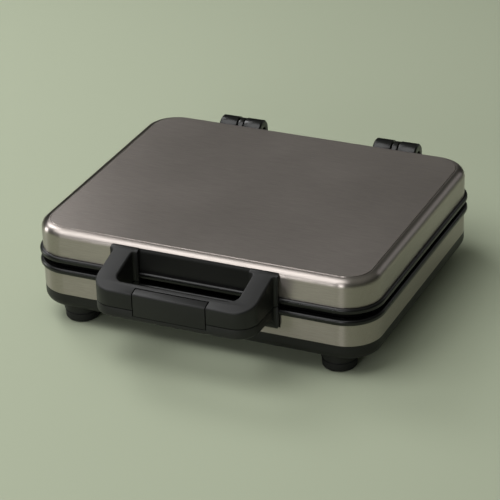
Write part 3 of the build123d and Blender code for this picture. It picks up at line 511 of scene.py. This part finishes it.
def open_face(corners):
    """A face of the block's bottom, or one that the punch left. The sheet has neither."""
    underneath = all(c.z < cover_low.z * 1000 + near for c in corners)
    return underneath or all(in_notch(c) for c in corners)


cover = block("cover_sheet", cover_low, cover_high)
round_edges(cover, cover_corner, cover_corner_segments, upright)
round_edges(cover, cover_shoulder, cover_shoulder_segments, at_top)
for side in (-1, 1):
    left = side * notch_centre - notch_half_width
    right = side * notch_centre + notch_half_width
    punch_low = mm(left, front_wall - punch_in_front, punch_bottom)
    punch_high = mm(right, front_wall + punch_behind, notch_top)
    punch = block("notch_punch", punch_low, punch_high)
    round_edges(punch, notch_corner, notch_corner_segments, punch_shoulder)
    cut(cover, punch)
pick(cover, "FACE", open_face)
bpy.ops.mesh.delete(type="FACE")
bpy.ops.object.mode_set(mode="OBJECT")
gauge = cover.modifiers.new("gauge", "SOLIDIFY")
gauge.thickness = sheet_gauge / 1000
gauge.offset = -1
gauge.use_even_offset = True
bpy.ops.object.modifier_apply(modifier="gauge")
lip = cover.modifiers.new("lip", "BEVEL")
lip.width = notch_lip / 1000
lip.segments = notch_lip_segments
lip.limit_method = "ANGLE"
lip.angle_limit = lip_sharp
bpy.ops.object.modifier_apply(modifier="lip")
panel_start = groove_depth + panel_rise - panel_edge_rise
pick(cover, "FACE", at_top)
bpy.ops.mesh.inset(thickness=panel_border / 1000)
bpy.ops.mesh.inset(thickness=groove_slope / 1000, depth=-groove_depth / 1000)
bpy.ops.mesh.inset(thickness=groove_floor / 1000)
bpy.ops.mesh.inset(thickness=rise_slope / 1000, depth=panel_start / 1000)
bpy.ops.mesh.inset(thickness=panel_edge / 1000, depth=panel_edge_rise / 1000)
bpy.ops.object.mode_set(mode="OBJECT")
bpy.ops.object.shade_smooth_by_angle(angle=cover_crease)
level = cover.modifiers.new("level", "WEIGHTED_NORMAL")
level.keep_sharp = True
bpy.ops.object.modifier_apply(modifier="level")
dress(cover, steel, "lid_cover")
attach(cover, "lid")

# Handle
# Two injection-moulded nylon halves, charcoal, one screwed to the lid and one to the base. The mould has a
# fine matt grain, and every edge is broken. The lower half's toes are rounded where they lie on the band.

# Radius of a toe's bottom corners in millimetres, where its bottom and its two sides are, and how near to
# them a corner of the solid's mesh has to be.
toe_radius = 3.0
toe_segments = 6
toe_bottom = 33.0
toe_inner = 44.4
toe_outer = 66.5
toe_near = 0.05


def at_toe_corner(end):
    """A corner at the bottom of a toe, on either of its sides."""
    on_side = min(abs(abs(end.x) - toe_inner), abs(abs(end.x) - toe_outer)) < toe_near
    return on_side and end.z < toe_bottom + toe_near


def toe_corner(ends):
    """A bottom edge at either side of a toe, running out from the band."""
    return all(at_toe_corner(e) for e in ends) and runs_back(ends)


handle_nylon, handle_shader = new_finish("moulded_nylon_charcoal", "#141414", roughness=0.5)
handle_shader.inputs["Specular IOR Level"].default_value = 0.4
moulded_grain(handle_nylon, handle_shader, grain_mm=0.7, depth_mm=0.03, roughness=(0.46, 0.56))
upper_grip = moulding("grip_upper", "handle_upper")
break_edges(upper_grip, edge_mm=0.4)
dress(upper_grip, handle_nylon, "handle_upper")
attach(upper_grip, "lid")
lower_grip = moulding("grip_lower", "handle_lower")
round_edges(lower_grip, toe_radius, toe_segments, toe_corner)
break_edges(lower_grip, edge_mm=0.4)
dress(lower_grip, handle_nylon, "handle_lower")
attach(lower_grip, "base")

# Latch
# A clip moulded in the handle's nylon, on its own pin. It wraps the front of the bar, and its lip hooks
# under the lower half.
clip = moulding("latch_clip", "latch")
break_edges(clip, edge_mm=0.35)
dress(clip, handle_nylon, "latch")
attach(clip, "latch")

# Floor
# A pale sage card, wide enough to be the backdrop too. It is matt, so that it keeps the object's soft shadow
# and shows no image of it.
floor_paint, floor_shader = new_finish("matt_sage_card", "#b9c1a9", roughness=0.9)
floor_shader.inputs["Specular IOR Level"].default_value = 0.1
bpy.ops.object.select_all(action="DESELECT")
bpy.ops.mesh.primitive_plane_add(size=12, location=(0, 0, 0))
floor = bpy.context.object
floor.name = "floor"
floor.data.materials.append(floor_paint)

# Light
# Plain soft light. The lamps overhead, behind and on the left shade the panel from front to back, and the
# two in front give the shoulder and the walls their bright bands. The sky is dim near the floor, where the
# walls mirror it, and brighter above.
lamp_aim = Vector((0, 0, 0.04))


def soft_lamp(name, place, size, power):
    """A square area lamp at a place, turned towards the object."""
    data = bpy.data.lights.new(name, "AREA")
    data.shape = "SQUARE"
    data.size = size
    data.energy = power
    lamp = bpy.data.objects.new(name, data)
    bpy.context.scene.collection.objects.link(lamp)
    lamp.location = place
    lamp.rotation_euler = (lamp_aim - Vector(place)).to_track_quat("-Z", "Y").to_euler()


soft_lamp("key", (-1.2, 0.5, 1.3), size=0.7, power=5)
soft_lamp("overhead", (-0.6, -0.6, 1.7), size=1.5, power=20)
soft_lamp("back", (-0.75, 0.4, 0.75), size=0.35, power=1.3)
soft_lamp("left", (-1.8, -0.14, 0.32), size=0.4, power=5)
soft_lamp("front", (0.1, -2.0, 0.6), size=0.5, power=6)
soft_lamp("low", (-0.72, -1.9, 0.5), size=0.4, power=3)
soft_lamp("rim", (0.9, 1.6, 0.8), size=0.8, power=0.8)
world = bpy.data.worlds.new("studio")
bpy.context.scene.world = world
world.use_nodes = True
sky = world.node_tree.nodes["Background"]
sky.inputs["Color"].default_value = linear("#b9bbb2")
around = add_node(world, "ShaderNodeTexCoord")
height = add_node(world, "ShaderNodeSeparateXYZ", {}, {"Vector": (around, "Generated")})
dim_low_sky = {"From Min": 0.35, "From Max": 0.95, "To Min": 0.04, "To Max": 0.5}
strength = add_node(world, "ShaderNodeMapRange", dim_low_sky, {"Value": (height, "Z")})
world.node_tree.links.new(strength.outputs["Result"], sky.inputs["Strength"])

bpy.context.scene.view_settings.view_transform = "Standard"
